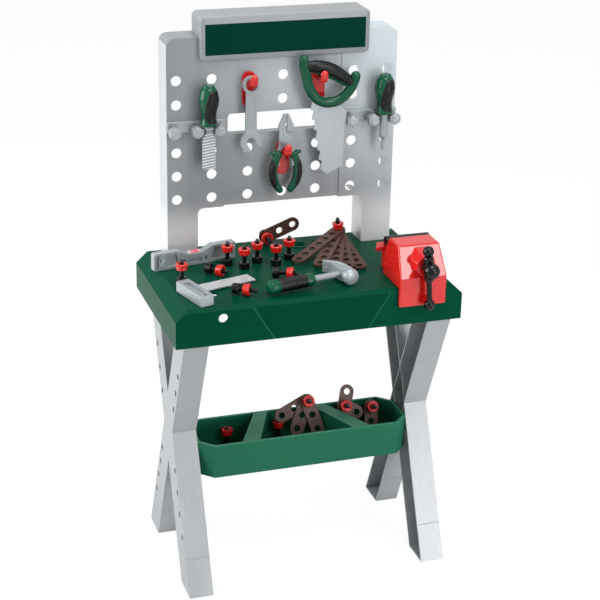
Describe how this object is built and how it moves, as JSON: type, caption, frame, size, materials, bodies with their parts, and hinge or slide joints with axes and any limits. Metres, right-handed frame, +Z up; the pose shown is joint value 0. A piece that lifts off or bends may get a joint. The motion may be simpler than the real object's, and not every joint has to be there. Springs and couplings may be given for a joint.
{
  "type": "toy workbench",
  "caption": "Child's toy workbench: X-legged table with a compartment tray, a pierced tool wall with a header, a corner vise, hanging tools, bolts with nuts and pierced strips.",
  "frame": {"origin": "middle of the footprint on the floor", "axes": "+X to the right seen from the front, +Y to the back where the tool wall stands, +Z up"},
  "size_m": [0.526, 0.3504, 1],
  "materials": {
    "green": "satin",
    "tray_green": "satin",
    "silver": "satin",
    "leg_silver": "satin",
    "tool_silver": "satin",
    "red": "gloss",
    "black": "gloss",
    "brown": "satin",
    "vial_tint": "gloss"
  },
  "bodies": {
    "bench": {"tabletop": "green", "leg_frame_left": "leg_silver", "leg_frame_right": "leg_silver", "tray": "tray_green", "upright_left": "silver", "upright_right": "silver", "centre_panel": "silver", "header_housing": "silver", "rack_left": "silver", "rack_right": "silver", "hook_wrench": "red", "hook_saw": "red", "hook_pliers": "red", "vise_housing": "red"},
    "vise_screw": {"vise_spindle": "black"},
    "vise_handle": {"vise_tommy_bar": "black"},
    "vise_jaw": {"vise_rear_jaw": "red", "vise_jaw_pad": "black"},
    "wrench": {"wrench": "tool_silver"},
    "pliers_back": {"pliers_half_back": "tool_silver", "pliers_grip_back": "green"},
    "pliers_front": {"pliers_half_front": "tool_silver", "pliers_grip_front": "green"},
    "saw": {"saw_blade": "tool_silver", "saw_handle": "green", "saw_grip": "black"},
    "screwdriver": {"screwdriver_handle": "green", "screwdriver_shaft": "tool_silver"},
    "file": {"file_handle": "green", "file_blade": "tool_silver"},
    "hammer": {"hammer_head": "tool_silver", "hammer_shaft": "tool_silver", "hammer_grip": "green"},
    "try_square": {"square_stock": "tool_silver", "square_blade": "tool_silver"},
    "spirit_level": {"level_body": "tool_silver", "level_vial": "vial_tint"},
    "bolt_1": {"bolt_1": "black"},
    "nut_1": {"nut_1": "red"},
    "bolt_2": {"bolt_2": "black"},
    "nut_2": {"nut_2": "red"},
    "bolt_3": {"bolt_3": "black"},
    "nut_3": {"nut_3": "red"},
    "bolt_4": {"bolt_4": "black"},
    "nut_4": {"nut_4": "red"},
    "bolt_5": {"bolt_5": "black"},
    "nut_5": {"nut_5": "red"},
    "bolt_6": {"bolt_6": "black"},
    "nut_6": {"nut_6": "red"},
    "fastener_1": {"fastener_1": "black"},
    "fastener_2": {"fastener_2": "black"},
    "fastener_3": {"fastener_3": "black"},
    "fan_pin": {"fan_fastener": "black"},
    "fan_strip_1": {"fan_strip_1": "brown"},
    "fan_strip_2": {"fan_strip_2": "brown"},
    "fan_strip_3": {"fan_strip_3": "brown"},
    "fan_strip_4": {"fan_strip_4": "brown"},
    "fan_strip_5": {"fan_strip_5": "brown"},
    "short_strip_pin": {"loose_fastener": "black"},
    "short_strip": {"loose_strip": "brown"}
  },
  "joints": [
    {"name": "vise_spindle_turn", "type": "hinge", "parent": "bench", "child": "vise_screw", "pos_m": [0.1855, -0.12275, 0.596], "axis": [0, 1, 0], "range_deg": [0, 900]},
    {"name": "vise_handle_slide", "type": "slide", "parent": "vise_screw", "child": "vise_handle", "axis": [-0.0732, 0, 0.9973], "range_m": [0, 0.03]},
    {"name": "vise_jaw_slide", "type": "slide", "parent": "bench", "child": "vise_jaw", "axis": [0, 1, 0], "range_m": [0, 0.02]},
    {"name": "wrench_swing", "type": "hinge", "parent": "bench", "child": "wrench", "pos_m": [-0.065, 0.10495, 0.87573], "axis": [0, 1, 0], "range_deg": [-10, 10]},
    {"name": "pliers_swing", "type": "hinge", "parent": "bench", "child": "pliers_back", "pos_m": [0, 0.10195, 0.7523], "axis": [0, 1, 0], "range_deg": [-4, 4]},
    {"name": "pliers_open", "type": "hinge", "parent": "pliers_back", "child": "pliers_front", "pos_m": [0, 0.10195, 0.7741], "axis": [0, -1, 0], "range_deg": [0, 25]},
    {"name": "saw_swing", "type": "hinge", "parent": "bench", "child": "saw", "pos_m": [0.0764, 0.09845, 0.884], "axis": [0, -1, 0], "range_deg": [-8, 0]},
    {"name": "screwdriver_lift", "type": "slide", "parent": "bench", "child": "screwdriver", "axis": [0, 0, 1], "range_m": [0, 0.09]},
    {"name": "file_pull", "type": "slide", "parent": "bench", "child": "file", "axis": [0, -1, 0], "range_m": [0, 0.06]},
    {"name": "hammer_lift", "type": "slide", "parent": "bench", "child": "hammer", "axis": [0, 0, 1], "range_m": [0, 0.15]},
    {"name": "try_square_lift", "type": "slide", "parent": "bench", "child": "try_square", "axis": [0, 0, 1], "range_m": [0, 0.15]},
    {"name": "spirit_level_lift", "type": "slide", "parent": "bench", "child": "spirit_level", "axis": [0, 0, 1], "range_m": [0, 0.12]},
    {"name": "bolt_1_lift", "type": "slide", "parent": "bench", "child": "bolt_1", "axis": [0, 0, 1], "range_m": [0, 0.1]},
    {"name": "nut_1_turn", "type": "hinge", "parent": "bolt_1", "child": "nut_1", "pos_m": [-0.22, 0.00225, 0.5853], "axis": [0, 0, 1], "continuous": true},
    {"name": "bolt_2_lift", "type": "slide", "parent": "bench", "child": "bolt_2", "axis": [0, 0, 1], "range_m": [0, 0.1]},
    {"name": "nut_2_turn", "type": "hinge", "parent": "bolt_2", "child": "nut_2", "pos_m": [-0.118, 0.06925, 0.5853], "axis": [0, 0, 1], "continuous": true},
    {"name": "bolt_3_lift", "type": "slide", "parent": "bench", "child": "bolt_3", "axis": [0, 0, 1], "range_m": [0, 0.1]},
    {"name": "nut_3_turn", "type": "hinge", "parent": "bolt_3", "child": "nut_3", "pos_m": [-0.093, 0.04525, 0.5853], "axis": [0, 0, 1], "continuous": true},
    {"name": "bolt_4_lift", "type": "slide", "parent": "bench", "child": "bolt_4", "axis": [0, 0, 1], "range_m": [0, 0.1]},
    {"name": "nut_4_turn", "type": "hinge", "parent": "bolt_4", "child": "nut_4", "pos_m": [-0.062, 0.06825, 0.5853], "axis": [0, 0, 1], "continuous": true},
    {"name": "bolt_5_lift", "type": "slide", "parent": "bench", "child": "bolt_5", "axis": [0, 0, 1], "range_m": [0, 0.1]},
    {"name": "nut_5_turn", "type": "hinge", "parent": "bolt_5", "child": "nut_5", "pos_m": [-0.033, 0.04525, 0.5853], "axis": [0, 0, 1], "continuous": true},
    {"name": "bolt_6_lift", "type": "slide", "parent": "bench", "child": "bolt_6", "axis": [0, 0, 1], "range_m": [0, 0.1]},
    {"name": "nut_6_turn", "type": "hinge", "parent": "bolt_6", "child": "nut_6", "pos_m": [-0.001, 0.06825, 0.5853], "axis": [0, 0, 1], "continuous": true},
    {"name": "fastener_1_lift", "type": "slide", "parent": "bench", "child": "fastener_1", "axis": [0, 0, 1], "range_m": [0, 0.1]},
    {"name": "fastener_2_lift", "type": "slide", "parent": "bench", "child": "fastener_2", "axis": [0, 0, 1], "range_m": [0, 0.1]},
    {"name": "fastener_3_lift", "type": "slide", "parent": "bench", "child": "fastener_3", "axis": [0, 0, 1], "range_m": [0, 0.1]},
    {"name": "fan_lift", "type": "slide", "parent": "bench", "child": "fan_pin", "axis": [0, 0, 1], "range_m": [0, 0.03]},
    {"name": "fan_strip_1_swing", "type": "hinge", "parent": "fan_pin", "child": "fan_strip_1", "pos_m": [0.1225, 0.14325, 0.55419], "axis": [-0.0936, -0.0098, 0.9956], "range_deg": [0, 12]},
    {"name": "fan_strip_2_swing", "type": "hinge", "parent": "fan_pin", "child": "fan_strip_2", "pos_m": [0.1225, 0.14325, 0.55419], "axis": [-0.0936, -0.0098, 0.9956], "range_deg": [-6, 6]},
    {"name": "fan_strip_3_swing", "type": "hinge", "parent": "fan_pin", "child": "fan_strip_3", "pos_m": [0.1225, 0.14325, 0.55419], "axis": [-0.0936, -0.0098, 0.9956], "range_deg": [-6, 6]},
    {"name": "fan_strip_4_swing", "type": "hinge", "parent": "fan_pin", "child": "fan_strip_4", "pos_m": [0.1225, 0.14325, 0.55419], "axis": [-0.0936, -0.0098, 0.9956], "range_deg": [-6, 6]},
    {"name": "fan_strip_5_swing", "type": "hinge", "parent": "fan_pin", "child": "fan_strip_5", "pos_m": [0.1225, 0.14325, 0.55419], "axis": [-0.0936, -0.0098, 0.9956], "range_deg": [-6, 5]},
    {"name": "short_strip_lift", "type": "slide", "parent": "bench", "child": "short_strip_pin", "axis": [0, -0.97, 0.2431], "range_m": [0, 0.042]},
    {"name": "short_strip_swing", "type": "hinge", "parent": "short_strip_pin", "child": "short_strip", "pos_m": [-0.018, 0.15925, 0.5673], "axis": [0, -1, 0], "range_deg": [-20, 50]}
  ],
  "couplings": [
    {"joint": "vise_jaw_slide", "follows": "vise_spindle_turn", "m_per_rad": 0.001273}
  ]
}
